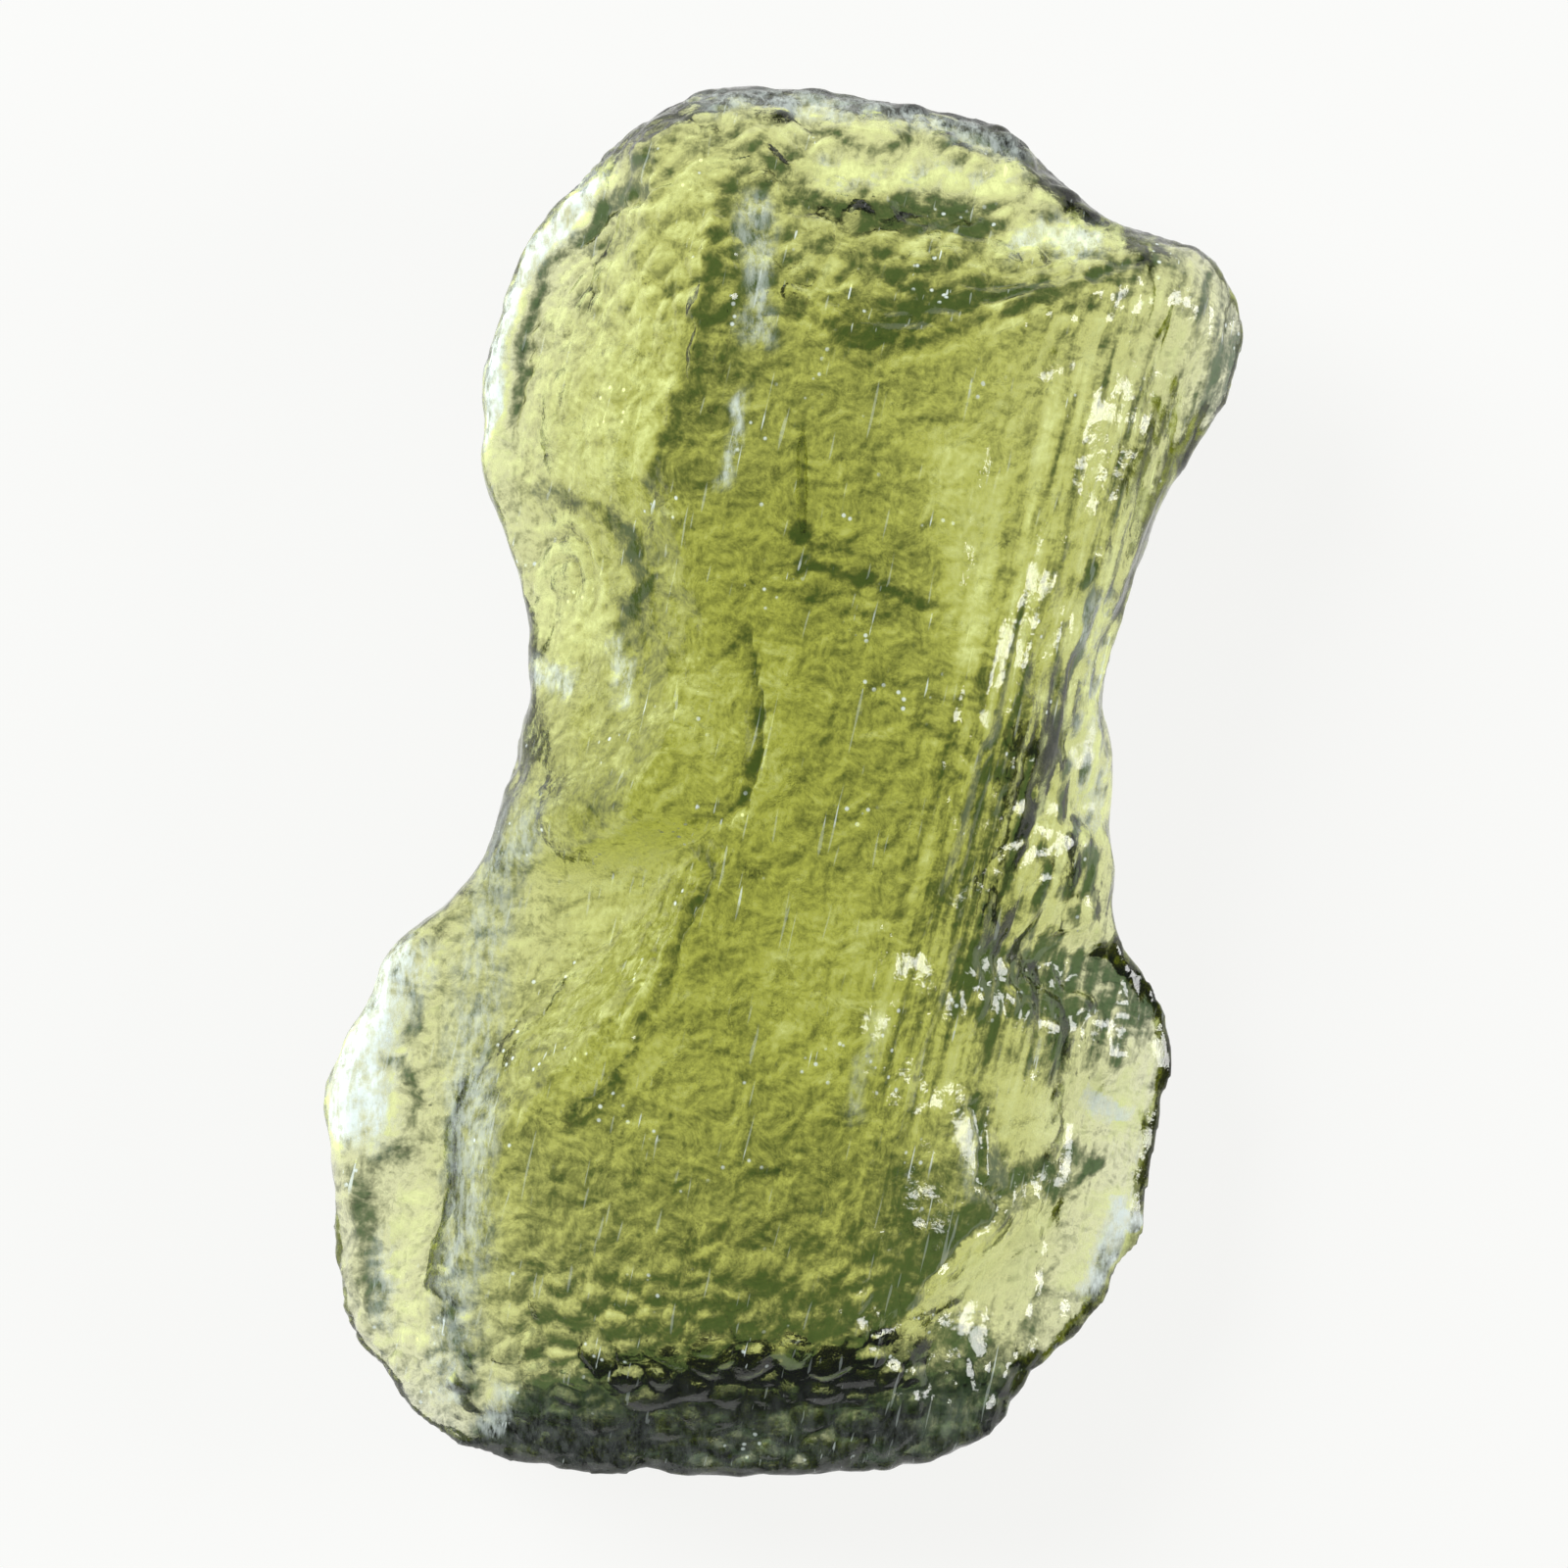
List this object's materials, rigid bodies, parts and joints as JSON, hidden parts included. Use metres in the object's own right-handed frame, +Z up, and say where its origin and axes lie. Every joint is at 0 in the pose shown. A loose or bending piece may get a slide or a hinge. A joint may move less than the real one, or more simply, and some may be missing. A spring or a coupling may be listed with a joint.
{
  "type": "moldavite",
  "caption": "Natural see-through yellow-green impact glass stone with a narrow waist, worn ridges, flake scars and etched pits, lying on its back.",
  "frame": {"origin": "middle of the stone's footprint, on the surface that it lies on", "axes": "+X across the stone to the right as its front is seen, +Y along its length to its upper end, +Z up out of its front"},
  "size_m": [0.02, 0.03, 0.0079],
  "materials": {
    "green_glass": "naturally etched, satin to glossy, see-through"
  },
  "bodies": {
    "root": {"moldavite": "green_glass"}
  },
  "joints": []
}
